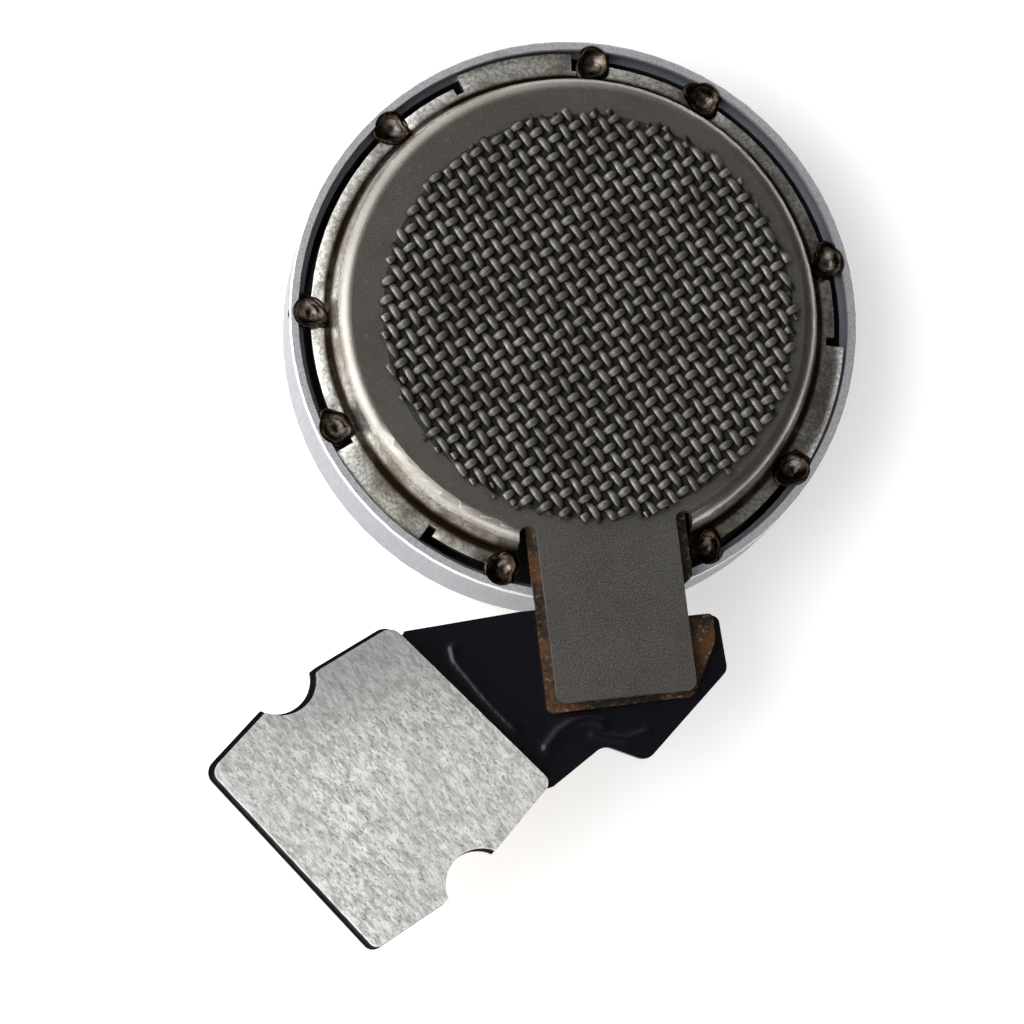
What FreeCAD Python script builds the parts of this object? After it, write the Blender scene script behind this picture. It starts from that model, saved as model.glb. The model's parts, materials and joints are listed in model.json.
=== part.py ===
import FreeCAD, Part
import math
import os

# Flat coin vibration motor: a drawn steel cup holding an eccentric rotor, closed by a stamped
# bracket with a woven pad on its raised face. The bracket's tongue carries a flexible circuit,
# which is soldered to a tail with a steel stiffener at its end.
#
# Millimetres. The origin is where the shaft axis meets the outer face of the case crown, +Z is
# up through the bracket to the pad, and the tongue points along -Y.

# Case cup
case_radius = 5.00
case_height = 1.95
case_sheet = 0.25
case_corner_radius = 0.30
case_inner_corner_radius = 0.12
rim_wall = 0.15
rim_edge_radius = 0.03
crown_ring_radius = 0.80
crown_ring_width = 0.10
crown_ring_depth = 0.03

# Bracket
bracket_sheet = 0.20
bracket_top = 2.56
flange_top = 1.85
flange_edge_drop = 0.06
flange_ear_radius = 4.81
flange_radius = 4.62
raised_radius = 4.16
raised_edge_radius = 0.24
shoulder_foot_radius = 4.33
foot_groove_width = 0.06
foot_groove_depth = 0.05
ear_count = 3
first_ear_angle = 96.0
ear_half_angle = 12.5
ear_slit_angle = 2.0
ear_slit_inner_radius = 4.48
tongue_half_width = 1.22
tongue_end = 6.79
tongue_corner_radius = 0.15
tongue_slot_width = 0.30
tongue_slot_start = 3.67
boss_radius = 0.70
boss_bottom = 1.65

# Laser welds between the flange and the case rim
weld_ring_radius = 4.64
weld_radius = 0.30
weld_bottom = 1.68
weld_top = 1.88
weld_crater_radius = 0.27
weld_crater_depth = 0.17
weld_offsets = (-17.0, -43.0, 31.0)

# Shaft and thrust washers
shaft_radius = 0.40
shaft_chamfer = 0.05
shaft_seat_depth = 0.15
washer_clearance = 0.01
lower_washer_radius = 0.85
lower_washer_thickness = 0.14
upper_washer_radius = 0.70
upper_washer_thickness = 0.12

# Woven pad on the raised face
pad_radius = 3.65
pad_centre = (0.16, -0.09)
pad_thickness = 0.12
pad_film_thickness = 0.02
pad_film_inset = 0.05

# Flexible circuit glued inside the bracket
flex_film_thickness = 0.02
base_flex_thickness = 0.10
base_flex_hole_radius = 0.80
base_flex_radius = 3.75
base_flex_strip_start = 3.00
flex_film_inset = 0.08

# Ring magnet
magnet_outer_radius = 3.70
magnet_inner_radius = 1.90
magnet_thickness = 0.75
magnet_chamfer = 0.05
magnet_film_thickness = 0.02

# Brushes
brush_sheet = 0.05
brush_width = 0.36
brush_centre_x = 1.15
brush_foot_start = 1.30
brush_foot_end = 0.78
brush_contact_y = -0.34
brush_tip_y = -0.59
brush_tip_lift = 0.07
brush_gap = 0.03
brush_split_width = 0.06
brush_split_end = 0.40
solder_width = 0.12
solder_length = 0.35
solder_height = 0.08

# Rotor, which spins on the shaft
bearing_clearance = 0.02
bearing_radius = 0.80
bearing_bottom = 0.42
bearing_top = 1.50
rotor_half_angle = 95.0
resin_radius = 4.40
resin_hub_radius = 1.72
resin_bottom = 0.50
resin_top = 1.28
coil_ring_radius = 2.65
coil_angles = (50.0, -50.0)
coil_outer_radius = 1.30
coil_inner_radius = 0.50
coil_bottom = 0.55
coil_top = 1.25
coil_gap = 0.06
cogging_pin_radius = 0.30
weight_outer_radius = 4.45
weight_inner_radius = 3.00
weight_half_angle = 62.0
weight_bottom = 0.45
weight_top = 1.35
board_radius = 1.75
board_thickness = 0.10
segment_count = 6
segment_inner_radius = 0.95
segment_outer_radius = 1.65
segment_sweep = 56.0
segment_thickness = 0.02

# Tail circuit, soldered under the tongue
tail_joint_thickness = 0.04
tail_thickness = 0.12
tail_film_thickness = 0.03
tail_border = 0.09
joint_pad_size = (0.90, 0.70)
joint_pad_x = 0.60
joint_pad_y = -6.10

# Stiffener at the end of the tail, in its own frame: length towards the case, width across it
stiffener_centre = (-4.36, -7.81)
stiffener_angle = 35.5
stiffener_thickness = 0.20
stiffener_notch_radius = 0.64
stiffener_notch_centres = ((-0.11, 2.50), (0.11, -2.43))
neck_start = 2.23
neck_end = 2.85
contact_size = (1.40, 2.90)
contact_offset = 0.95
contact_corner_radius = 0.20
contact_thickness = 0.02

# Outlines in plan as (x, y, corner radius)
base_flex_strip_outline = (
    (-1.38, -base_flex_strip_start, 0.0),
    (-1.38, -6.92, 0.12),
    (1.18, -6.88, 0.15),
    (1.68, -5.95, 0.50),
    (1.68, -5.48, 0.08),
    (1.20, -5.48, 0.0),
    (1.20, -4.98, 0.0),
    (1.42, -4.80, 0.10),
    (1.42, -base_flex_strip_start, 0.0),
)
tail_web_outline = (
    (-4.20, -5.90, 0.0),
    (-3.66, -5.22, 0.0),
    (-1.65, -5.09, 0.0),
    (1.12, -5.09, 0.0),
    (1.12, -5.50, 0.0),
    (1.80, -5.50, 0.14),
    (1.84, -6.48, 0.20),
    (0.25, -7.90, 0.25),
    (-0.47, -7.55, 0.25),
    (-1.42, -8.16, 0.0),
    (-2.20, -8.30, 0.0),
)

stiffener_outline = (
    (2.18, -1.92, 0.18),
    (1.94, 1.90, 0.25),
    (0.53, 2.16, 0.0),
    (-0.70, 2.23, 0.0),
    (-2.05, 2.10, 0.20),
    (-1.98, -2.02, 0.15),
    (-0.56, -2.22, 0.0),
    (0.67, -2.14, 0.0),
)

# Heights worked out from the dimensions above
bracket_bottom = bracket_top - bracket_sheet
flange_bottom = flange_top - bracket_sheet
base_flex_top = bracket_bottom - flex_film_thickness
base_flex_bottom = base_flex_top - base_flex_thickness
magnet_top = base_flex_bottom - magnet_film_thickness
board_bottom = resin_top
board_top = board_bottom + board_thickness
segment_top = board_top + segment_thickness
tail_top = base_flex_bottom - tail_joint_thickness
tail_bottom = tail_top - tail_thickness
stiffener_bottom = tail_top + tail_film_thickness
pad_bottom = bracket_top + pad_film_thickness

up = FreeCAD.Vector(0, 0, 1)


def flat_at(height):
    """Places a plan point at a height."""
    return lambda point: FreeCAD.Vector(point.x, point.y, height)


def in_section(point):
    """Places a (radius, height) point in the XZ plane."""
    return FreeCAD.Vector(point.x, 0, point.y)


def corner_points(before, corner, after, radius):
    """Where a corner's rounding starts, its middle and where it ends."""
    to_before = (before - corner).normalize()
    to_after = (after - corner).normalize()
    half_angle = to_before.getAngle(to_after) / 2
    setback = radius / math.tan(half_angle)
    bisector = (to_before + to_after).normalize()
    nearest = radius / math.sin(half_angle) - radius
    return corner + to_before * setback, corner + bisector * nearest, corner + to_after * setback


def rounded_wire(outline, place):
    """Closed wire through (a, b, corner radius) points, each placed in space by place."""
    points = [FreeCAD.Vector(a, b, 0) for a, b, _ in outline]
    count = len(points)
    roundings = []
    for i, (_, _, radius) in enumerate(outline):
        if radius > 0:
            roundings.append(corner_points(points[i - 1], points[i], points[(i + 1) % count], radius))
        else:
            roundings.append((points[i], None, points[i]))
    edges = []
    for i, (start, middle, end) in enumerate(roundings):
        if middle is not None:
            edges.append(Part.Arc(place(start), place(middle), place(end)).toShape())
        next_start = roundings[(i + 1) % count][0]
        edges.append(Part.LineSegment(place(end), place(next_start)).toShape())
    return Part.Wire(edges)


def plate(outline, bottom, thickness, grown=0.0):
    """Flat plate with the given plan outline, optionally grown or shrunk all round."""
    wire = rounded_wire(outline, flat_at(bottom))
    if grown:
        wire = wire.makeOffset2D(grown)
    return Part.Face(wire).extrude(up * thickness)


def turned(profile):
    """Solid of revolution about Z from a (radius, height, corner radius) profile."""
    face = Part.Face(rounded_wire(profile, in_section))
    return face.revolve(FreeCAD.Vector(0, 0, 0), up, 360)


def disc(radius, bottom, top, centre=(0, 0)):
    """Upright cylinder."""
    return Part.makeCylinder(radius, top - bottom, FreeCAD.Vector(centre[0], centre[1], bottom), up)


def ring(inner, outer, bottom, top, centre=(0, 0)):
    """Upright ring."""
    return disc(outer, bottom, top, centre).cut(disc(inner, bottom, top, centre))


def sector(inner, outer, bottom, top, start_angle, sweep):
    """Part of a ring, from start_angle through sweep degrees."""
    base = FreeCAD.Vector(0, 0, bottom)
    outside = Part.makeCylinder(outer, top - bottom, base, up, sweep)
    shape = outside.cut(Part.makeCylinder(inner, top - bottom, base, up, sweep))
    return turned_by(shape, start_angle)


def block(low, high):
    """Box between two opposite corners."""
    size = FreeCAD.Vector(*high) - FreeCAD.Vector(*low)
    return Part.makeBox(size.x, size.y, size.z, FreeCAD.Vector(*low))


def turned_by(shape, angle):
    """Copy turned about the shaft axis."""
    copy = shape.copy()
    copy.rotate(FreeCAD.Vector(0, 0, 0), up, angle)
    return copy


def on_axis_angle(radius, angle):
    """Plan point at a radius and an angle from +X."""
    return radius * math.cos(math.radians(angle)), radius * math.sin(math.radians(angle))


def on_tail(shape):
    """Moves a shape from the stiffener's own frame to its place on the tail."""
    placed = shape.copy()
    placed.rotate(FreeCAD.Vector(0, 0, 0), up, stiffener_angle)
    placed.translate(FreeCAD.Vector(stiffener_centre[0], stiffener_centre[1], 0))
    return placed


def fused(shapes):
    """Shapes joined into one solid, with the seams between coplanar faces removed."""
    return shapes[0].fuse(list(shapes[1:])).removeSplitter()


# Case, bracket and welds


def weld_angles():
    angles = []
    for ear in range(ear_count):
        ear_angle = first_ear_angle + ear * 360 / ear_count
        for offset in weld_offsets:
            angles.append(ear_angle + offset)
    return angles


def weld_centres():
    return [on_axis_angle(weld_ring_radius, angle) for angle in weld_angles()]


def weld_pockets():
    return [disc(weld_radius, weld_bottom, bracket_top, centre) for centre in weld_centres()]


def weld_spots():
    """Frozen melt pools: short discs with a crater in the top."""
    sphere_radius = (weld_crater_radius ** 2 + weld_crater_depth ** 2) / (2 * weld_crater_depth)
    sphere_height = weld_top - weld_crater_depth + sphere_radius
    spots = []
    for centre in weld_centres():
        crater = Part.makeSphere(sphere_radius, FreeCAD.Vector(centre[0], centre[1], sphere_height))
        spots.append(disc(weld_radius, weld_bottom, weld_top, centre).cut(crater))
    return Part.makeCompound(spots)


def case_cup():
    """Drawn cup whose rim is coined thinner, which leaves a ledge for the bracket's ears."""
    inner_radius = case_radius - case_sheet
    rim_radius = case_radius - rim_wall
    cup = turned((
        (0, 0, 0),
        (case_radius, 0, case_corner_radius),
        (case_radius, case_height, rim_edge_radius),
        (rim_radius, case_height, 0),
        (rim_radius, flange_bottom, 0),
        (inner_radius, flange_bottom, 0),
        (inner_radius, case_sheet, case_inner_corner_radius),
        (shaft_radius, case_sheet, 0),
        (shaft_radius, case_sheet - shaft_seat_depth, 0),
        (0, case_sheet - shaft_seat_depth, 0),
    ))
    crown_ring = ring(crown_ring_radius, crown_ring_radius + crown_ring_width, 0, crown_ring_depth)
    return cup.cut([crown_ring] + weld_pockets())


def flange_cutouts():
    """What the flange loses outside flange_radius between its ears, and a slit beside each ear."""
    pitch = 360 / ear_count
    cutouts = []
    for ear in range(ear_count):
        ear_end = first_ear_angle + ear * pitch + ear_half_angle
        gap = pitch - 2 * ear_half_angle
        cutouts.append(
            sector(flange_radius, case_radius, flange_bottom, flange_top, ear_end, gap))
        for slit_start in (ear_end, ear_end + gap - ear_slit_angle):
            cutouts.append(sector(
                ear_slit_inner_radius, case_radius, flange_bottom, flange_top,
                slit_start, ear_slit_angle))
    return cutouts


def tongue_opening():
    """Clears the shoulder and flange at the tongue, with a round-ended slot each side."""
    slot_radius = tongue_slot_width / 2
    slot_centre_x = tongue_half_width + slot_radius
    slot_centre_y = -(tongue_slot_start + slot_radius)
    outer_x = slot_centre_x + slot_radius
    cutouts = [
        block((-outer_x, -case_radius, flange_bottom), (outer_x, -tongue_slot_start, bracket_bottom)),
        block((-slot_centre_x, -case_radius, bracket_bottom),
              (slot_centre_x, raised_edge_radius - raised_radius, bracket_top)),
    ]
    for side in (-1, 1):
        x = side * slot_centre_x
        cutouts.append(disc(slot_radius, flange_bottom, bracket_top, (x, slot_centre_y)))
        cutouts.append(block(
            (x - slot_radius, -case_radius, flange_bottom),
            (x + slot_radius, slot_centre_y, bracket_top)))
    return cutouts


def tongue():
    root = 2 * raised_edge_radius - raised_radius
    return plate((
        (-tongue_half_width, root, 0),
        (-tongue_half_width, -tongue_end, tongue_corner_radius),
        (tongue_half_width, -tongue_end, tongue_corner_radius),
        (tongue_half_width, root, 0),
    ), bracket_bottom, bracket_sheet)


def bracket_plate():
    """Shallow stamped cap: flange, shoulder, raised face, shaft boss and tongue in one sheet."""
    inner_foot_radius = shoulder_foot_radius - bracket_sheet
    inner_raised_radius = raised_radius - bracket_sheet
    cap = turned((
        (shaft_radius, bracket_top, 0),
        (raised_radius, bracket_top, raised_edge_radius),
        (shoulder_foot_radius, flange_top, 0),
        (flange_ear_radius, flange_top - flange_edge_drop, 0),
        (flange_ear_radius, flange_bottom, 0),
        (inner_foot_radius, flange_bottom, 0),
        (inner_raised_radius, bracket_bottom, 0),
        (boss_radius, bracket_bottom, 0),
        (boss_radius, boss_bottom, 0),
        (shaft_radius, boss_bottom, 0),
    ))
    foot_groove = ring(
        shoulder_foot_radius, shoulder_foot_radius + foot_groove_width,
        flange_top - foot_groove_depth, flange_top)
    body = cap.cut([foot_groove] + flange_cutouts() + tongue_opening() + weld_pockets())
    return fused([body, tongue()])


# Shaft, washers, pad and magnet


def shaft_pin():
    bottom = case_sheet - shaft_seat_depth
    return turned((
        (0, bottom, 0),
        (shaft_radius - shaft_chamfer, bottom, 0),
        (shaft_radius, bottom + shaft_chamfer, 0),
        (shaft_radius, bracket_top - shaft_chamfer, 0),
        (shaft_radius - shaft_chamfer, bracket_top, 0),
        (0, bracket_top, 0),
    ))


def thrust_washer_lower():
    bore = shaft_radius + washer_clearance
    return ring(bore, lower_washer_radius, case_sheet, case_sheet + lower_washer_thickness)


def thrust_washer_upper():
    bore = shaft_radius + washer_clearance
    return ring(bore, upper_washer_radius, boss_bottom - upper_washer_thickness, boss_bottom)


def pad_adhesive():
    return disc(pad_radius - pad_film_inset, bracket_top, pad_bottom, pad_centre)


def woven_pad():
    return disc(pad_radius, pad_bottom, pad_bottom + pad_thickness, pad_centre)


def ring_magnet():
    bottom = magnet_top - magnet_thickness
    return turned((
        (magnet_inner_radius, bottom + magnet_chamfer, 0),
        (magnet_inner_radius + magnet_chamfer, bottom, 0),
        (magnet_outer_radius - magnet_chamfer, bottom, 0),
        (magnet_outer_radius, bottom + magnet_chamfer, 0),
        (magnet_outer_radius, magnet_top, 0),
        (magnet_inner_radius, magnet_top, 0),
    ))


def magnet_adhesive():
    inset = magnet_chamfer
    return ring(magnet_inner_radius + inset, magnet_outer_radius - inset, magnet_top, base_flex_bottom)


# Flexible circuit and brushes inside the bracket


def base_flex():
    around_shaft = ring(base_flex_hole_radius, base_flex_radius, base_flex_bottom, base_flex_top)
    strip = plate(base_flex_strip_outline, base_flex_bottom, base_flex_thickness)
    return fused([around_shaft, strip])


def base_flex_adhesive():
    around_shaft = ring(
        base_flex_hole_radius + flex_film_inset, base_flex_radius - flex_film_inset,
        base_flex_top, bracket_bottom)
    half_width = tongue_half_width - flex_film_inset
    strip = block(
        (-half_width, flex_film_inset - tongue_end, base_flex_top),
        (half_width, -base_flex_strip_start, bracket_bottom))
    return fused([around_shaft, strip])


def brush_right():
    """Leaf spring: a foot on the circuit, an arm down to the commutator and a lifted tip."""
    contact_low = segment_top + brush_gap
    foot_low = base_flex_bottom - brush_sheet
    centre_line = (
        (brush_foot_start, foot_low),
        (brush_foot_end, foot_low),
        (brush_contact_y, contact_low),
        (brush_tip_y, contact_low + brush_tip_lift),
    )
    lower = [(y, z, 0) for y, z in centre_line]
    upper = [(y, z + brush_sheet, 0) for y, z in reversed(centre_line)]
    left_side = brush_centre_x - brush_width / 2
    profile = rounded_wire(lower + upper, lambda point: FreeCAD.Vector(left_side, point.x, point.y))
    leaf = Part.Face(profile).extrude(FreeCAD.Vector(brush_width, 0, 0))
    split = block(
        (brush_centre_x - brush_split_width / 2, brush_tip_y - brush_sheet, segment_top),
        (brush_centre_x + brush_split_width / 2, brush_split_end, base_flex_bottom))
    return leaf.cut(split)


def brush_left():
    return turned_by(brush_right(), 180)


def brush_solder():
    """A solder fillet along the inner side of each brush foot."""
    high_x = brush_centre_x - brush_width / 2
    fillet = block(
        (high_x - solder_width, brush_foot_start - solder_length, base_flex_bottom - solder_height),
        (high_x, brush_foot_start, base_flex_bottom))
    return Part.makeCompound([fillet, turned_by(fillet, 180)])


# Rotor


def coil_centre(angle):
    return on_axis_angle(coil_ring_radius, angle)


def coil(angle):
    return ring(coil_inner_radius, coil_outer_radius, coil_bottom, coil_top, coil_centre(angle))


def rotor_bearing():
    return ring(shaft_radius + bearing_clearance, bearing_radius, bearing_bottom, bearing_top)


def cogging_pins():
    """A steel pin in the middle of each coil, which parks the rotor where it can start."""
    return Part.makeCompound([
        disc(cogging_pin_radius, coil_bottom, coil_top, coil_centre(angle)) for angle in coil_angles])


def tungsten_weight():
    """Heavy rim that fills the space between and around the coils on one side."""
    rim = sector(
        weight_inner_radius, weight_outer_radius, weight_bottom, weight_top,
        -weight_half_angle, 2 * weight_half_angle)
    coil_room = [
        disc(coil_outer_radius + coil_gap, weight_bottom, weight_top, coil_centre(angle))
        for angle in coil_angles]
    return rim.cut(coil_room)


def rotor_resin():
    """Moulded body that holds the coils, pins and weight to the bearing."""
    fan = sector(
        bearing_radius, resin_radius, resin_bottom, resin_top,
        -rotor_half_angle, 2 * rotor_half_angle)
    hub = ring(bearing_radius, resin_hub_radius, resin_bottom, resin_top)
    held = [coil(angle) for angle in coil_angles] + [cogging_pins(), tungsten_weight()]
    return fused([fan, hub]).cut(held)


def commutator_board():
    return ring(bearing_radius, board_radius, board_bottom, board_top)


def commutator_segments():
    pitch = 360 / segment_count
    return Part.makeCompound([
        sector(segment_inner_radius, segment_outer_radius, board_top, segment_top,
               i * pitch, segment_sweep)
        for i in range(segment_count)])


# Tail circuit and its stiffener


def side_notches(radius, bottom, top):
    return [disc(radius, bottom, top, centre) for centre in stiffener_notch_centres]


def tail_stiffener():
    top = stiffener_bottom + stiffener_thickness
    blank = plate(stiffener_outline, stiffener_bottom, stiffener_thickness)
    return on_tail(blank.cut(side_notches(stiffener_notch_radius, stiffener_bottom, top)))


def stiffener_adhesive():
    film = plate(stiffener_outline, tail_top, tail_film_thickness, -tail_border)
    notches = side_notches(stiffener_notch_radius + tail_border, tail_top, stiffener_bottom)
    return on_tail(film.cut(notches))


def whole_tail():
    """The tail circuit in one piece: a web under the tongue and a head under the stiffener.

    The stiffener sits flush with two sides of the head, and the film shows beyond the other two.
    """
    notches = side_notches(stiffener_notch_radius - tail_border / 2, tail_bottom, tail_top)
    head = plate(stiffener_outline, tail_bottom, tail_thickness, tail_border / 2).cut(notches)
    head.translate(FreeCAD.Vector(-tail_border / 2, tail_border / 2, 0))
    web = plate(tail_web_outline, tail_bottom, tail_thickness)
    return fused([on_tail(head), web])


def tail_between(start, end):
    """The stretch of the tail between two distances from the stiffener's middle."""
    reach = 3 * case_radius
    band = block((start, -reach, tail_bottom), (end, reach, tail_top))
    return whole_tail().common(on_tail(band))


def tail_flex_root():
    return tail_between(neck_end, 3 * case_radius)


def tail_flex_neck():
    return tail_between(neck_start, neck_end)


def tail_flex_end():
    return tail_between(-3 * case_radius, neck_start)


def tail_solder_joints():
    width, length = joint_pad_size
    return Part.makeCompound([
        block((x - width / 2, joint_pad_y - length / 2, tail_top),
              (x + width / 2, joint_pad_y + length / 2, base_flex_bottom))
        for x in (-joint_pad_x, joint_pad_x)])


def contact_pads():
    """Two contact lands on the tail's underside, side by side across the stiffener."""
    half_width = contact_size[0] / 2
    half_length = contact_size[1] / 2
    lands = []
    for middle in (-contact_offset, contact_offset):
        outline = (
            (middle - half_width, -half_length, contact_corner_radius),
            (middle + half_width, -half_length, contact_corner_radius),
            (middle + half_width, half_length, contact_corner_radius),
            (middle - half_width, half_length, contact_corner_radius),
        )
        lands.append(on_tail(plate(outline, tail_bottom - contact_thickness, contact_thickness)))
    return Part.makeCompound(lands)


nodes = {
    "case_cup": case_cup,
    "bracket_plate": bracket_plate,
    "weld_spots": weld_spots,
    "shaft_pin": shaft_pin,
    "thrust_washer_lower": thrust_washer_lower,
    "thrust_washer_upper": thrust_washer_upper,
    "pad_adhesive": pad_adhesive,
    "woven_pad": woven_pad,
    "ring_magnet": ring_magnet,
    "magnet_adhesive": magnet_adhesive,
    "base_flex": base_flex,
    "base_flex_adhesive": base_flex_adhesive,
    "brush_left": brush_left,
    "brush_right": brush_right,
    "brush_solder": brush_solder,
    "rotor_bearing": rotor_bearing,
    "coil_a": lambda: coil(coil_angles[0]),
    "coil_b": lambda: coil(coil_angles[1]),
    "cogging_pins": cogging_pins,
    "tungsten_weight": tungsten_weight,
    "rotor_resin": rotor_resin,
    "commutator_board": commutator_board,
    "commutator_segments": commutator_segments,
    "tail_flex_root": tail_flex_root,
    "tail_flex_neck": tail_flex_neck,
    "tail_flex_end": tail_flex_end,
    "tail_solder_joints": tail_solder_joints,
    "stiffener_adhesive": stiffener_adhesive,
    "tail_stiffener": tail_stiffener,
    "contact_pads": contact_pads,
}

os.makedirs("parts", exist_ok=True)
for name, make in nodes.items():
    shape = make()
    if not shape.isValid():
        raise ValueError(name + " is not a valid shape")
    shape.exportStep("parts/" + name + ".step")
    box = shape.BoundBox
    print(f"{name}: {len(shape.Solids)} solids, {shape.Volume:.4f} mm3, z {box.ZMin:.2f} to {box.ZMax:.2f}")
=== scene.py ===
import json
import math
import random

import bmesh
import bpy
from mathutils import Matrix, Vector
from mathutils.geometry import delaunay_2d_cdt


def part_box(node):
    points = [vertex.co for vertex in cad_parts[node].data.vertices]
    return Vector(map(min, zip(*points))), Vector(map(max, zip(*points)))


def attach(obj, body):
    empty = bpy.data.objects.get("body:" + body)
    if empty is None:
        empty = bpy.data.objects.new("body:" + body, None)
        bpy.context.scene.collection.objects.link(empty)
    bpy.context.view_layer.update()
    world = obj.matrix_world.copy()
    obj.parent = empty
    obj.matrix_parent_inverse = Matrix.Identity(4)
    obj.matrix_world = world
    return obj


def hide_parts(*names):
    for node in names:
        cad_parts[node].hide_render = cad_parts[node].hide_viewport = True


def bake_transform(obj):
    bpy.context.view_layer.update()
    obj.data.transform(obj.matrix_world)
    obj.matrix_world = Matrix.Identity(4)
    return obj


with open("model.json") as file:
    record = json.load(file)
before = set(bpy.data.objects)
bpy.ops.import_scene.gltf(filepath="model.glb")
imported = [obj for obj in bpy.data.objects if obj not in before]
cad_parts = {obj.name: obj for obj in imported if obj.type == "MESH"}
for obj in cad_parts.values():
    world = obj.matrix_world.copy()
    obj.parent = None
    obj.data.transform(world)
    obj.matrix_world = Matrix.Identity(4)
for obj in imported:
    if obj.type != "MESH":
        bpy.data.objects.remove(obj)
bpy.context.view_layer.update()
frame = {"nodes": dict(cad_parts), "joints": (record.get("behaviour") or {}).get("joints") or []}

# The scene is in metres. Sizes below are in millimetres where their name says so.
MM = 0.001

# Camera, aimed at a point between the case and the tail
camera_target_mm = (-1.458, -3.231, 1.5)
camera_azimuth = -40.5
camera_elevation = 78.0
camera_roll = 34.1
camera_distance_mm = 90.0
camera_lens_mm = 181.5

# Woven pad: two families of threads that pass over and under each other
steep_thread_angle = 118.0
steep_thread_pitch_mm = 0.2155
flat_thread_angle = 27.0
flat_thread_pitch_mm = 0.266
thread_half_width_mm = 0.072
thread_half_height_mm = 0.030
thread_wave_mm = 0.030
thread_sides = 8
steps_per_crossing = 4
thread_end_scatter_mm = 0.16
thread_end_shares = (-0.3, 1.0)
thread_width_shares = (0.93, 1.07)
thread_crest_power = 0.75
thread_mean_width_share = 0.92
thread_crest_swell = 0.10
thread_slow_drift_mm = 0.010
thread_slow_rate = 2.3
thread_quick_drift_mm = 0.006
thread_quick_rate = 9.1
# Heights over which the threads go from painted shade below to their grey tone on the crests
thread_shade_height_mm = 2.650
thread_lit_height_mm = 2.694

# Welds. The profile is (share of the radius, height above the CAD discs), from middle to skirt,
# and the waves that make the lip uneven are (how many around, share of the radius)
weld_profile = (
    (0.08, -0.150), (0.35, -0.130), (0.62, -0.060), (0.80, 0.005),
    (0.95, 0.015), (1.06, -0.020), (1.00, -0.190))
weld_waves = ((1, 0.08), (2, 0.14), (3, 0.10), (5, 0.06))
weld_steps = 28
weld_lip_wander_mm = 0.12

# Tail circuit
tail_grid_mm = 0.045
ridge_height_mm = 0.045
film_sharp_angle = 50

# Stamped parts
bevel_edge_angle = 35
stiffener_bevel_mm = 0.02
bracket_bevel_mm = 0.015

# Studio
floor_half_width = 0.6
floor_gap_mm = 0.02
room_left_strength = 2.1
room_right_strength = 0.10
room_overhead_share = 0.11
left_softbox_watts = 0.55
front_softbox_watts = 0.20
floor_glow = 0.40

random_seed = 7
rng = random.Random(random_seed)


# ---------------------------------------------------------------- shader building blocks


class Shading:
    """A material and the node-making steps that the finishes below share."""

    def __init__(self, name):
        self.material = bpy.data.materials.new(name)
        self.material.use_nodes = True
        self.tree = self.material.node_tree
        self.shader = self.tree.nodes["Principled BSDF"]

    def node(self, kind, inputs=None, **settings):
        made = self.tree.nodes.new(kind)
        for key, value in settings.items():
            setattr(made, key, value)
        for key, value in (inputs or {}).items():
            if isinstance(value, bpy.types.NodeSocket):
                self.tree.links.new(value, made.inputs[key])
            else:
                made.inputs[key].default_value = value
        return made

    def position(self, turn=0.0, stretch=(1.0, 1.0, 1.0)):
        """The rest position in millimetres, turned about Z and stretched along the turned axes."""
        place = self.node("ShaderNodeTexCoord").outputs["Object"]
        turned = self.node("ShaderNodeVectorRotate", {
            "Vector": place, "Axis": (0, 0, 1), "Angle": math.radians(-turn)})
        scale = tuple(factor / MM for factor in stretch)
        scaled = self.node("ShaderNodeVectorMath", {0: turned.outputs[0], 1: scale}, operation="MULTIPLY")
        return scaled.outputs[0]

    def noise(self, place, scale, detail=3.0, roughness=0.55, distortion=0.0):
        made = self.node("ShaderNodeTexNoise", {
            "Vector": place, "Scale": scale, "Detail": detail,
            "Roughness": roughness, "Distortion": distortion})
        return made.outputs["Fac"]

    def cells(self, place, scale):
        made = self.node("ShaderNodeTexVoronoi", {"Vector": place, "Scale": scale})
        return made.outputs["Distance"]

    def calculate(self, operation, first, second=0.0, third=0.0):
        made = self.node("ShaderNodeMath", {0: first, 1: second, 2: third}, operation=operation)
        return made.outputs[0]

    def spread(self, value, low, high, to_low=0.0, to_high=1.0):
        """Maps low..high to to_low..to_high, smoothly and clamped."""
        made = self.node("ShaderNodeMapRange", {
            "Value": value, "From Min": low, "From Max": high,
            "To Min": to_low, "To Max": to_high}, interpolation_type="SMOOTHSTEP")
        return made.outputs["Result"]

    def mix(self, amount, first, second):
        made = self.node("ShaderNodeMix", data_type="RGBA")
        for socket, value in zip((made.inputs[0], made.inputs[6], made.inputs[7]), (amount, first, second)):
            if isinstance(value, bpy.types.NodeSocket):
                self.tree.links.new(value, socket)
            else:
                socket.default_value = value if isinstance(value, float) else (*value, 1.0)
        return made.outputs[2]

    def radius_and_height(self):
        """Distance from the shaft axis and height, in millimetres."""
        parts = self.node("ShaderNodeSeparateXYZ", {0: self.position()})
        across = self.calculate("MULTIPLY", parts.outputs[0], parts.outputs[0])
        total = self.calculate("MULTIPLY_ADD", parts.outputs[1], parts.outputs[1], across)
        return self.calculate("SQRT", total), parts.outputs[2]

    def finish(self, colour, roughness, height=None, bump_strength=0.3, bump_distance_mm=0.01, **constants):
        self.set_input("Base Color", colour)
        self.set_input("Roughness", roughness)
        for name, value in constants.items():
            self.shader.inputs[name.replace("_", " ").title()].default_value = value
        if height is not None:
            bump = self.node("ShaderNodeBump", {
                "Height": height, "Strength": bump_strength, "Distance": bump_distance_mm * MM})
            self.tree.links.new(bump.outputs[0], self.shader.inputs["Normal"])
        return self.material

    def set_input(self, name, value):
        if isinstance(value, bpy.types.NodeSocket):
            self.tree.links.new(value, self.shader.inputs[name])
        else:
            self.shader.inputs[name].default_value = value


# ---------------------------------------------------------------- finishes


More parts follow.
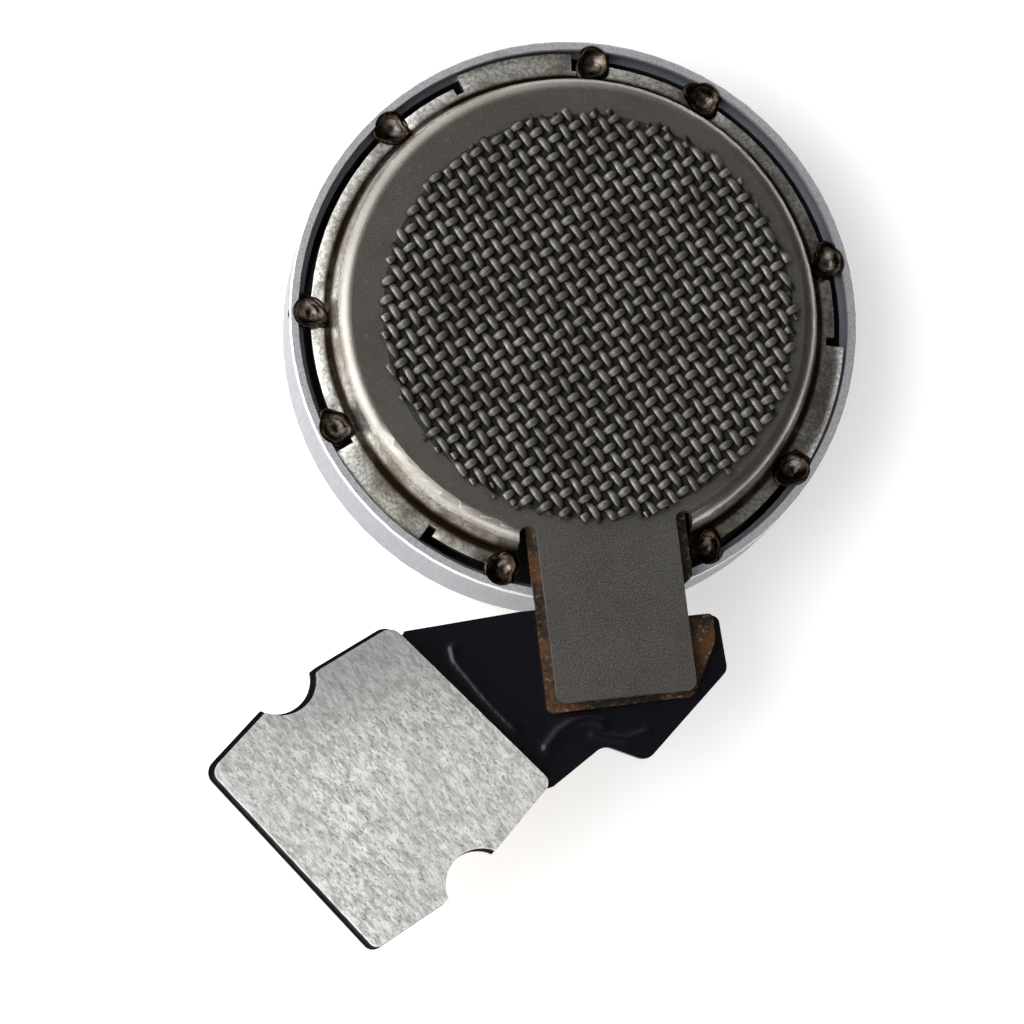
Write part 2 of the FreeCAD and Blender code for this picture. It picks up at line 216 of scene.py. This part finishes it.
def case_steel():
    """Drawn, plated steel, satin on the wall, with the rim top painted brighter as a painted highlight."""
    look = Shading("case_steel")
    grain = look.noise(look.position(), 26.0, 4.0)
    tarnish = look.noise(look.position(), 1.6, 5.0, 0.6)
    draw_lines = look.noise(look.position(stretch=(1, 1, 0.08)), 14.0, 3.0)
    height = look.radius_and_height()[1]
    wall = look.mix(look.spread(grain, 0.35, 0.65), (0.20, 0.21, 0.235), (0.25, 0.26, 0.29))
    # Painted highlight: the rim top is painted light silver, far lighter than the wall of the same steel.
    rim = look.mix(look.spread(grain, 0.35, 0.65), (0.66, 0.67, 0.71), (0.86, 0.87, 0.92))
    wall_and_painted_rim_highlight = look.mix(look.spread(height, 1.80, 1.88), wall, rim)
    colour = look.mix(look.spread(tarnish, 0.60, 0.78, 0.0, 0.5), wall_and_painted_rim_highlight, (0.16, 0.14, 0.12))
    roughness = look.spread(draw_lines, 0.3, 0.7, 0.29, 0.35)
    relief = look.calculate("ADD", grain, draw_lines)
    return look.finish(colour, roughness, relief, 0.05, 0.004, metallic=0.7)


def bracket_steel():
    """Stamped steel: dull grey with fine grain, a flange painted lighter as a painted highlight, painted
    shade tinted brown in the groove, and brown residue around the rim.
    """
    look = Shading("bracket_steel")
    grain = look.noise(look.position(), 34.0, 5.0, 0.7)
    clouds = look.noise(look.position(), 0.9, 5.0, 0.6)
    pits = look.cells(look.position(), 11.0)
    radius, height = look.radius_and_height()
    distance_y = look.node("ShaderNodeSeparateXYZ", {0: look.position()}).outputs[1]
    grey = look.mix(look.spread(grain, 0.3, 0.7), (0.26, 0.245, 0.225), (0.36, 0.345, 0.32))
    clouded = look.mix(look.spread(clouds, 0.35, 0.7, 0.0, 0.5), grey, (0.22, 0.20, 0.175))
    low = look.spread(height, 2.53, 2.34)
    spatter = look.spread(look.noise(look.position(), 7.0, 4.0, 0.75), 0.60, 0.70, 0.0, 0.5)
    specks = look.noise(look.position(), 15.0, 4.0, 0.75)
    # Painted highlight: the flange below the raised disc is painted much lighter than the disc, with bright
    # specks over its grain.
    flange_grain_and_highlight = look.mix(look.spread(specks, 0.38, 0.62), (0.42, 0.41, 0.385), (0.90, 0.885, 0.83))
    flange_highlight_and_grime = look.mix(look.spread(clouds, 0.45, 0.62, 0.0, 0.6), flange_grain_and_highlight, (0.20, 0.15, 0.10))
    marked = look.mix(look.calculate("MULTIPLY", spatter, clouds), clouded, (0.62, 0.60, 0.55))
    flanged = look.mix(low, marked, flange_highlight_and_grime)
    # Painted shade: the groove at the foot of the raised disc is painted dark brown where shade falls in
    # the recess.
    in_groove = look.calculate(
        "MULTIPLY", look.spread(radius, 4.46, 4.38), look.spread(height, 2.20, 1.95))
    groove_painted_shade = look.calculate("MULTIPLY", in_groove, look.spread(clouds, 0.25, 0.5, 0.6, 1.0))
    with_groove_shade = look.mix(groove_painted_shade, flanged, (0.055, 0.032, 0.018))
    beside_tongue = look.calculate("MULTIPLY", low, look.spread(distance_y, -3.75, -4.15))
    residue = look.calculate("MULTIPLY", beside_tongue, look.spread(specks, 0.42, 0.52))
    colour = look.mix(residue, with_groove_shade, (0.10, 0.055, 0.025))
    roughness = look.spread(grain, 0.3, 0.75, 0.28, 0.44)
    relief = look.calculate("MULTIPLY_ADD", look.spread(pits, 0.0, 0.12), 0.6, grain)
    return look.finish(colour, roughness, relief, 0.35, 0.010, metallic=1.0)


def weld_metal():
    """Remelted steel: a dark, heat-tinted lip around a greyer, glossy hollow."""
    look = Shading("weld_metal")
    ripples = look.noise(look.position(), 5.0, 4.0, 0.6, 1.2)
    height = look.radius_and_height()[1]
    hollow = look.mix(look.spread(ripples, 0.38, 0.62), (0.045, 0.036, 0.030), (0.15, 0.135, 0.12))
    lip = look.mix(look.spread(ripples, 0.45, 0.70), (0.020, 0.013, 0.009), (0.08, 0.058, 0.040))
    colour = look.mix(look.spread(height, 1.80, 1.87), hollow, lip)
    roughness = look.spread(ripples, 0.3, 0.7, 0.14, 0.30)
    return look.finish(colour, roughness, ripples, 0.35, 0.03, metallic=1.0)


def stiffener_steel(grain_angle):
    """Bright rolled steel, satin, with fine wavy flecks along the rolling direction, painted darker towards
    the case end as painted shade.
    """
    look = Shading("stiffener_steel")
    streaks = look.noise(look.position(grain_angle, (1.0, 2.6, 1.0)), 4.2, 5.0, 0.7, 0.7)
    flecks = look.noise(look.position(grain_angle, (1.0, 2.2, 1.0)), 13.0, 3.0, 0.6, 0.5)
    clouds = look.noise(look.position(), 0.6, 3.0)
    base = look.mix(look.spread(streaks, 0.36, 0.64), (0.54, 0.54, 0.53), (0.97, 0.97, 0.95))
    flecked = look.mix(look.spread(flecks, 0.47, 0.33, 0.0, 0.75), base, (0.20, 0.20, 0.195))
    clouded = look.mix(look.spread(clouds, 0.35, 0.65, 0.0, 0.3), flecked, (0.52, 0.53, 0.53))
    distance_y = look.node("ShaderNodeSeparateXYZ", {0: look.position()}).outputs[1]
    # Painted shade: the flat plate is painted darker towards the corner nearest the case and stays lighter
    # towards the far end.
    colour = look.mix(look.spread(distance_y, -7.9, -5.4, 0.0, 0.62), clouded, (0.20, 0.21, 0.205))
    relief = look.calculate("MULTIPLY_ADD", flecks, 0.8, streaks)
    roughness = look.spread(streaks, 0.3, 0.7, 0.36, 0.50)
    return look.finish(colour, roughness, relief, 0.5, 0.014, metallic=0.45)


def black_film():
    """Glossy black cover film, with faint ripples and dust."""
    look = Shading("black_film")
    ripples = look.noise(look.position(), 1.8, 3.0)
    dust = look.noise(look.position(), 30.0, 3.0, 0.7)
    colour = look.mix(look.spread(dust, 0.62, 0.78, 0.0, 0.6), (0.003, 0.003, 0.006), (0.030, 0.031, 0.036))
    roughness = look.spread(dust, 0.35, 0.7, 0.12, 0.26)
    return look.finish(colour, roughness, ripples, 0.25, 0.05)


def amber_film():
    """Amber polyimide over copper, with brown glue and scorch marks."""
    look = Shading("amber_film")
    scorch = look.noise(look.position(), 1.7, 5.0, 0.65)
    flecks = look.noise(look.position(), 13.0, 3.0, 0.6)
    amber = look.mix(look.spread(scorch, 0.36, 0.58), (0.080, 0.036, 0.015), (0.014, 0.009, 0.006))
    colour = look.mix(look.spread(flecks, 0.58, 0.72, 0.0, 0.6), amber, (0.26, 0.22, 0.13))
    roughness = look.spread(flecks, 0.3, 0.7, 0.20, 0.42)
    return look.finish(colour, roughness, flecks, 0.5, 0.03)


def thread_metal():
    """Metal-coated threads: grey on the raised crests, painted dark and dull below them as painted shade.
    """
    look = Shading("thread_metal")
    patches = look.noise(look.position(), 1.1, 3.0)
    filaments = look.noise(look.position(flat_thread_angle, (5.0, 5.0, 1.0)), 9.0, 2.0)
    height = look.radius_and_height()[1]
    crest = look.mix(look.spread(patches, 0.3, 0.7), (0.13, 0.120, 0.109), (0.26, 0.248, 0.230))
    frayed = look.mix(look.spread(filaments, 0.35, 0.65, 0.0, 0.6), crest, (0.06, 0.055, 0.05))
    # Painted shade: the lower parts of each thread are painted near black, and only the crests keep the
    # thread's grey.
    crest_light_mask = look.spread(height, thread_shade_height_mm, thread_lit_height_mm)
    colour = look.mix(crest_light_mask, (0.022, 0.019, 0.017), frayed)
    roughness = look.spread(filaments, 0.3, 0.7, 0.36, 0.50)
    return look.finish(colour, roughness, filaments, 0.4, 0.01, metallic=0.75)


def plain_metal(name, colour, roughness, grain_scale=18.0):
    """Metal of an inner part: fine machining grain over a slightly uneven tone."""
    look = Shading(name)
    grain = look.noise(look.position(stretch=(1, 1, 4)), grain_scale, 4.0)
    dark = tuple(channel * 0.72 for channel in colour)
    tone = look.mix(look.spread(grain, 0.3, 0.7), dark, colour)
    return look.finish(tone, look.spread(grain, 0.3, 0.7, roughness - 0.07, roughness + 0.07),
                       grain, 0.15, 0.01, metallic=1.0)


def plain_plastic(name, colour, roughness, grain_scale=14.0):
    """Moulded or cast material of an inner part, with a fine uneven surface."""
    look = Shading(name)
    grain = look.noise(look.position(), grain_scale, 4.0)
    light = tuple(min(1.0, channel * 1.25 + 0.01) for channel in colour)
    tone = look.mix(look.spread(grain, 0.3, 0.7), colour, light)
    return look.finish(tone, look.spread(grain, 0.3, 0.7, roughness - 0.08, roughness + 0.08),
                       grain, 0.25, 0.02)


def wound_copper(name, node):
    """Enamelled winding: fine rings around the coil's own axis."""
    look = Shading(name)
    low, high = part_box(node)
    middle = tuple((a + b) / 2 / MM for a, b in zip(low, high))
    offset = look.node("ShaderNodeVectorMath", {0: look.position(), 1: middle}, operation="SUBTRACT")
    rings = look.node("ShaderNodeTexWave", {
        "Vector": offset.outputs[0], "Scale": 5.0, "Distortion": 0.6, "Detail": 2.0},
        wave_type="RINGS", rings_direction="Z")
    turns = rings.outputs["Fac"]
    colour = look.mix(turns, (0.30, 0.10, 0.035), (0.72, 0.33, 0.14))
    return look.finish(colour, look.spread(turns, 0.0, 1.0, 0.38, 0.24), turns, 0.5, 0.03, metallic=0.9)


# ---------------------------------------------------------------- meshes


def make_object(name, vertices, faces, material, smooth=True):
    mesh = bpy.data.meshes.new(name)
    mesh.from_pydata(vertices, [], faces)
    mesh.materials.append(material)
    mesh.polygons.foreach_set("use_smooth", [smooth] * len(mesh.polygons))
    piece = bpy.data.objects.new(name, mesh)
    bpy.context.collection.objects.link(piece)
    return piece


def heading(angle):
    """Unit vectors in plan: along an angle in degrees, and a quarter turn to its left."""
    turn = math.radians(angle)
    return Vector((math.cos(turn), math.sin(turn), 0)), Vector((-math.sin(turn), math.cos(turn), 0))


def thread_sections(start, end, crossing_offset, crossing_pitch, starts_over):
    """Distances along a thread and its rise there, from a wave that peaks over each second crossing."""
    step = crossing_pitch / steps_per_crossing
    sections = []
    count = max(2, round((end - start) / step))
    for i in range(count + 1):
        along = start + (end - start) * i / count
        phase = math.pi * (along - crossing_offset) / crossing_pitch
        rise = math.cos(phase) * (1 if starts_over else -1)
        sections.append((along, math.copysign(abs(rise) ** thread_crest_power, rise)))
    return sections


def thread_tube(origin, direction, side, sections, half_width):
    """Vertices and faces of one thread: an oval tube with closed ends."""
    vertices = []
    faces = []
    wobble = rng.uniform(0, 2 * math.pi)
    for along, rise in sections:
        slow_drift = thread_slow_drift_mm * math.sin(along * thread_slow_rate + wobble)
        quick_drift = thread_quick_drift_mm * math.sin(along * thread_quick_rate + 2 * wobble)
        drift = slow_drift + quick_drift
        taper = thread_mean_width_share + thread_crest_swell * rise
        for k in range(thread_sides):
            turn = 2 * math.pi * k / thread_sides
            across = half_width * taper * math.cos(turn) + drift
            lift = thread_half_height_mm * math.sin(turn) + thread_wave_mm * rise
            point = origin + direction * (along * MM) + side * (across * MM)
            vertices.append((point.x, point.y, point.z + lift * MM))
    for i in range(len(sections) - 1):
        for k in range(thread_sides):
            a = i * thread_sides + k
            b = i * thread_sides + (k + 1) % thread_sides
            faces.append((a, b, b + thread_sides, a + thread_sides))
    faces.append(tuple(reversed(range(thread_sides))))
    last = (len(sections) - 1) * thread_sides
    faces.append(tuple(range(last, last + thread_sides)))
    return vertices, faces


def thread_family(centre, radius_mm, angle, pitch, crossing_angle, crossing_pitch, starts_over):
    """All parallel threads of one direction, cut to the pad's circle with uneven ends."""
    direction, side = heading(angle)
    crossing_side = heading(crossing_angle)[1]
    slant = crossing_side.dot(side) / crossing_side.dot(direction)
    spacing_along = crossing_pitch / abs(crossing_side.dot(direction))
    vertices = []
    faces = []
    reach = int(radius_mm / pitch)
    for number in range(-reach, reach + 1):
        offset = number * pitch
        half_chord = math.sqrt(radius_mm ** 2 - offset ** 2)
        start = -half_chord + rng.uniform(*thread_end_shares) * thread_end_scatter_mm
        end = half_chord - rng.uniform(*thread_end_shares) * thread_end_scatter_mm
        if end - start < spacing_along:
            continue
        over = starts_over if number % 2 == 0 else not starts_over
        sections = thread_sections(start, end, -offset * slant, spacing_along, over)
        width = thread_half_width_mm * rng.uniform(*thread_width_shares)
        tube, sides = thread_tube(centre + side * (offset * MM), direction, side, sections, width)
        faces.extend(tuple(index + len(vertices) for index in face) for face in sides)
        vertices.extend(tube)
    return vertices, faces


def weave_pad(material):
    """The pad as real cloth: two thread families woven over and under."""
    low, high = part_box("woven_pad")
    centre = Vector(((low[0] + high[0]) / 2, (low[1] + high[1]) / 2, (low[2] + high[2]) / 2))
    radius_mm = (high[0] - low[0]) / 2 / MM
    steep = thread_family(
        centre, radius_mm, steep_thread_angle, steep_thread_pitch_mm,
        flat_thread_angle, flat_thread_pitch_mm, True)
    flat = thread_family(
        centre, radius_mm, flat_thread_angle, flat_thread_pitch_mm,
        steep_thread_angle, steep_thread_pitch_mm, False)
    for name, (vertices, faces) in (("pad_warp_threads", steep), ("pad_weft_threads", flat)):
        piece = make_object(name, vertices, faces, material)
        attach(piece, "motor")
        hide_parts("woven_pad")


# ---------------------------------------------------------------- welds


def weld_islands():
    """Centre and radius of each weld, in metres, from the separate discs of the CAD node."""
    merged = bmesh.new()
    merged.from_mesh(frame["nodes"]["weld_spots"].data)
    bmesh.ops.remove_doubles(merged, verts=merged.verts, dist=0.002 * MM)
    merged.verts.ensure_lookup_table()
    waiting = set(range(len(merged.verts)))
    islands = []
    while waiting:
        reached = [merged.verts[min(waiting)]]
        waiting.remove(reached[0].index)
        for vert in reached:
            for edge in vert.link_edges:
                other = edge.other_vert(vert)
                if other.index in waiting:
                    waiting.remove(other.index)
                    reached.append(other)
        xs = [vert.co.x for vert in reached]
        ys = [vert.co.y for vert in reached]
        islands.append(((min(xs) + max(xs)) / 2, (min(ys) + max(ys)) / 2, (max(xs) - min(xs)) / 2))
    merged.free()
    return islands


def weld_pools(material):
    """Welds as uneven frozen pools: a hollow with a ragged lip, in place of the plain CAD discs."""
    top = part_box("weld_spots")[1][2]
    vertices = []
    faces = []
    for x, y, radius in weld_islands():
        waves = [(count, share * rng.uniform(0.6, 1.4), rng.uniform(0, 2 * math.pi))
                 for count, share in weld_waves]
        first = len(vertices)
        for out, rise_mm in weld_profile:
            for k in range(weld_steps):
                turn = 2 * math.pi * k / weld_steps
                swell = out * sum(share * math.sin(count * turn + phase) for count, share, phase in waves)
                reach = radius * out * (1 + swell)
                height = top + (rise_mm + weld_lip_wander_mm * swell) * MM
                vertices.append((x + reach * math.cos(turn), y + reach * math.sin(turn), height))
        for ring in range(len(weld_profile) - 1):
            for k in range(weld_steps):
                a = first + ring * weld_steps + k
                b = first + ring * weld_steps + (k + 1) % weld_steps
                faces.append((a, a + weld_steps, b + weld_steps, b))
        last = first + (len(weld_profile) - 1) * weld_steps
        faces.append(tuple(range(first, first + weld_steps)))
        faces.append(tuple(reversed(range(last, last + weld_steps))))
    piece = make_object("weld_pools", vertices, faces, material)
    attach(piece, "motor")
    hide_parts("weld_spots")


# ---------------------------------------------------------------- tail circuit


def tail_joint():
    """The bend's centre, and the direction across it towards the case."""
    joint = next(j for j in frame["joints"] if j["name"] == "tail_bend")
    axis = Vector(joint["axis"]).normalized()
    return Vector(joint["pos_m"]), Vector((-axis.y, axis.x, 0))


def top_outline(nodes):
    """The plan outline shared by flat nodes that meet edge to edge, as one closed loop of points."""
    merged = bmesh.new()
    for node in nodes:
        merged.from_mesh(frame["nodes"][node].data)
    merged.normal_update()
    below = [face for face in merged.faces if face.normal.z < 0.9]
    bmesh.ops.delete(merged, geom=below, context="FACES")
    bmesh.ops.remove_doubles(merged, verts=merged.verts, dist=0.002 * MM)
    rim = [edge for edge in merged.edges if len(edge.link_faces) == 1]
    after = {}
    for edge in rim:
        loop = edge.link_loops[0]
        after[loop.vert.index] = (loop.link_loop_next.vert.index, loop.vert.co.copy())
    first = next(iter(after))
    outline = []
    at = first
    while True:
        following, place = after[at]
        outline.append(Vector((place.x, place.y)))
        at = following
        if at == first:
            break
    height = rim[0].verts[0].co.z
    merged.free()
    return outline, height


def spaced(outline, step):
    """The outline with points added so that none are further apart than step."""
    points = []
    for start, end in zip(outline, outline[1:] + outline[:1]):
        count = max(1, math.ceil((end - start).length / step))
        points.extend(start.lerp(end, i / count) for i in range(count))
    return points


def inside(point, outline):
    hit = False
    for a, b in zip(outline, outline[1:] + outline[:1]):
        if (a.y > point.y) != (b.y > point.y):
            hit ^= point.x < a.x + (point.y - a.y) * (b.x - a.x) / (b.y - a.y)
    return hit


def distance_to_path(point, path):
    nearest = float("inf")
    for a, b in zip(path, path[1:]):
        along = b - a
        share = max(0.0, min(1.0, (point - a).dot(along) / along.length_squared))
        nearest = min(nearest, (point - a.lerp(b, share)).length)
    return nearest


# Raised traces under the cover film, in millimetres: (points, half width, share of the full height)
tail_ridges = (
    (((-2.86, -5.60), (-2.84, -5.80), (-2.36, -6.55), (-1.96, -7.06)), 0.075, 0.8),
    (((-1.44, -7.48), (-1.20, -7.24), (-0.90, -7.08), (-0.62, -7.06), (-0.46, -7.16)), 0.10, 1.0),
    (((-0.62, -7.34), (-0.36, -7.42), (-0.05, -7.50), (0.30, -7.40)), 0.08, 0.7),
)


def ridge_rise(point):
    """How far the film stands up over the traces at a plan point, in metres."""
    place = point / MM
    rise = 0.0
    for path, half_width, share in tail_ridges:
        away = distance_to_path(place, [Vector(corner) for corner in path])
        rise = max(rise, share * math.exp(-(away / half_width) ** 2))
    return rise * ridge_height_mm * MM


def tail_sheet(material):
    """The tail circuit as one continuous flat film over its root, neck and end."""
    nodes = ("tail_flex_root", "tail_flex_neck", "tail_flex_end")
    outline, top = top_outline(nodes)
    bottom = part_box("tail_flex_root")[0][2]
    step = tail_grid_mm * MM
    rim = spaced(outline, step)
    xs = [point.x for point in rim]
    ys = [point.y for point in rim]
    points = list(rim)
    for row in range(int((max(ys) - min(ys)) / step)):
        for column in range(int((max(xs) - min(xs)) / step)):
            shift = 0.5 * (row % 2)
            place = Vector((min(xs) + (column + shift) * step, min(ys) + row * step))
            if inside(place, outline) and distance_to_path(place, outline + outline[:1]) > 0.5 * step:
                points.append(place)
    edges = [(i, (i + 1) % len(rim)) for i in range(len(rim))]
    flat_points, _, triangles, *_ = delaunay_2d_cdt(points, edges, [], 1, 1e-9)
    count = len(flat_points)
    vertices = [(point.x, point.y, top + ridge_rise(point)) for point in flat_points]
    vertices += [(point.x, point.y, bottom) for point in flat_points]
    faces = [tuple(triangle) for triangle in triangles]
    faces += [tuple(index + count for index in reversed(triangle)) for triangle in triangles]
    faces += [(a, a + count, b + count, b) for a, b in edges]
    piece = make_object("tail_circuit", vertices, faces, material)
    piece.data.set_sharp_from_angle(angle=math.radians(film_sharp_angle))
    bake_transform(piece)
    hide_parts(*nodes)
    return piece


# ---------------------------------------------------------------- CAD nodes


def give_material(node, material):
    for slot in frame["nodes"][node].material_slots:
        slot.material = material


def soften_edges(node, width_mm):
    """Rounds a stamped part's sharp edges a little, so that they catch the light."""
    piece = frame["nodes"][node]
    weld = piece.modifiers.new("weld", "WELD")
    weld.merge_threshold = 0.0005 * MM
    bevel = piece.modifiers.new("bevel", "BEVEL")
    bevel.width = width_mm * MM
    bevel.segments = 2
    bevel.limit_method = "ANGLE"
    bevel.angle_limit = math.radians(bevel_edge_angle)


def dress_nodes():
    centre, across = tail_joint()
    grain_angle = math.degrees(math.atan2(across.y, across.x)) + 90
    shared = {
        "film": plain_plastic("adhesive_film", (0.012, 0.012, 0.011), 0.55),
        "washer": plain_plastic("washer", (0.66, 0.63, 0.54), 0.40),
        "steel": plain_metal("turned_steel", (0.62, 0.62, 0.60), 0.25, 30.0),
        "brush": plain_metal("brush_alloy", (0.78, 0.58, 0.33), 0.30, 24.0),
        "solder": plain_metal("solder", (0.66, 0.66, 0.65), 0.28, 7.0),
        "gold": plain_metal("gold_plate", (0.95, 0.68, 0.28), 0.30, 22.0),
    }
    materials = {
        "case_cup": case_steel(),
        "bracket_plate": bracket_steel(),
        "shaft_pin": shared["steel"],
        "thrust_washer_lower": shared["washer"],
        "thrust_washer_upper": shared["washer"],
        "pad_adhesive": shared["film"],
        "ring_magnet": plain_metal("magnet_nickel", (0.58, 0.57, 0.55), 0.36, 9.0),
        "magnet_adhesive": shared["film"],
        "base_flex": amber_film(),
        "base_flex_adhesive": shared["film"],
        "brush_left": shared["brush"],
        "brush_right": shared["brush"],
        "brush_solder": shared["solder"],
        "rotor_bearing": plain_metal("sintered_bronze", (0.52, 0.36, 0.17), 0.46, 40.0),
        "coil_a": wound_copper("winding_a", "coil_a"),
        "coil_b": wound_copper("winding_b", "coil_b"),
        "cogging_pins": shared["steel"],
        "tungsten_weight": plain_metal("tungsten", (0.34, 0.34, 0.35), 0.52, 30.0),
        "rotor_resin": plain_plastic("rotor_resin", (0.015, 0.015, 0.017), 0.42),
        "commutator_board": plain_plastic("board", (0.045, 0.14, 0.05), 0.38),
        "commutator_segments": shared["gold"],
        "tail_solder_joints": shared["solder"],
        "stiffener_adhesive": shared["film"],
        "tail_stiffener": stiffener_steel(grain_angle),
        "contact_pads": shared["gold"],
    }
    for node, material in materials.items():
        give_material(node, material)
    soften_edges("tail_stiffener", stiffener_bevel_mm)
    soften_edges("bracket_plate", bracket_bevel_mm)


# ---------------------------------------------------------------- stage


def stage_floor():
    """A pale sheet under the object, lit a little from below so that shadows stay soft."""
    reach = floor_half_width
    corners = [(-reach, -reach, 0), (reach, -reach, 0), (reach, reach, 0), (-reach, reach, 0)]
    mesh = bpy.data.meshes.new("floor")
    mesh.from_pydata(corners, [], [(0, 1, 2, 3)])
    look = Shading("floor_paper")
    fibre = look.noise(look.position(), 0.4, 4.0)
    paper = look.mix(fibre, (0.90, 0.90, 0.90), (0.93, 0.93, 0.93))
    mesh.materials.append(look.finish(
        paper, 0.9, fibre, 0.05, 0.1, emission_color=(1.0, 1.0, 1.0, 1.0), emission_strength=floor_glow))
    floor = bpy.data.objects.new("floor", mesh)
    floor.location.z = -floor_gap_mm * MM
    bpy.context.collection.objects.link(floor)


def softbox(name, direction, distance, size, power, colour=(1, 1, 1)):
    light = bpy.data.lights.new(name, "AREA")
    light.shape = "RECTANGLE"
    light.size = size[0]
    light.size_y = size[1]
    light.energy = power
    light.color = colour
    lamp = bpy.data.objects.new(name, light)
    towards = Vector(direction).normalized()
    lamp.location = Vector(camera_target_mm) * MM + towards * distance
    lamp.rotation_euler = towards.to_track_quat("Z", "Y").to_euler()
    bpy.context.collection.objects.link(lamp)


def world_light():
    """A room that is light towards the left, darker to the right and darkest overhead."""
    world = bpy.data.worlds.new("room")
    world.use_nodes = True
    tree = world.node_tree
    background = tree.nodes["Background"]
    background.inputs["Color"].default_value = (1.0, 0.985, 0.96, 1.0)
    place = tree.nodes.new("ShaderNodeTexCoord")
    split = tree.nodes.new("ShaderNodeSeparateXYZ")
    tree.links.new(place.outputs["Generated"], split.inputs[0])
    product = tree.nodes.new("ShaderNodeMath")
    product.operation = "MULTIPLY"
    fades = (
        (split.outputs[0], -0.7, 0.7, room_left_strength, room_right_strength),
        (split.outputs[2], 0.55, 0.95, 1.0, room_overhead_share),
    )
    for socket, (source, low, high, at_low, at_high) in enumerate(fades):
        fade = tree.nodes.new("ShaderNodeMapRange")
        fade.interpolation_type = "SMOOTHSTEP"
        tree.links.new(source, fade.inputs["Value"])
        fade.inputs["From Min"].default_value = low
        fade.inputs["From Max"].default_value = high
        fade.inputs["To Min"].default_value = at_low
        fade.inputs["To Max"].default_value = at_high
        tree.links.new(fade.outputs["Result"], product.inputs[socket])
    tree.links.new(product.outputs[0], background.inputs["Strength"])
    bpy.context.scene.world = world


def aim_camera():
    azimuth = math.radians(camera_azimuth)
    elevation = math.radians(camera_elevation)
    roll = math.radians(camera_roll)
    back = Vector((
        math.sin(azimuth) * math.cos(elevation),
        -math.cos(azimuth) * math.cos(elevation),
        math.sin(elevation)))
    level = Vector((0, 0, 1)).cross(back).normalized()
    upright = back.cross(level)
    right = level * math.cos(roll) + upright * math.sin(roll)
    top = upright * math.cos(roll) - level * math.sin(roll)
    camera = bpy.data.objects.new("camera", bpy.data.cameras.new("camera"))
    camera.matrix_world = Matrix((right, top, back)).transposed().to_4x4()
    camera.location = Vector(camera_target_mm) * MM + back * (camera_distance_mm * MM)
    camera.data.lens = camera_lens_mm
    camera.data.sensor_width = 36.0
    camera.data.clip_start = 0.001
    bpy.context.collection.objects.link(camera)
    bpy.context.scene.camera = camera


aim_camera()
world_light()
softbox("left_softbox", (-1.0, 0.1, 0.75), 0.25, (0.22, 0.30), left_softbox_watts)
softbox("front_softbox", (-0.2, -1.0, 0.6), 0.35, (0.30, 0.15), front_softbox_watts)
stage_floor()
dress_nodes()
weave_pad(thread_metal())
weld_pools(weld_metal())
tail_sheet(black_film())
bpy.context.scene.view_settings.view_transform = "Standard"
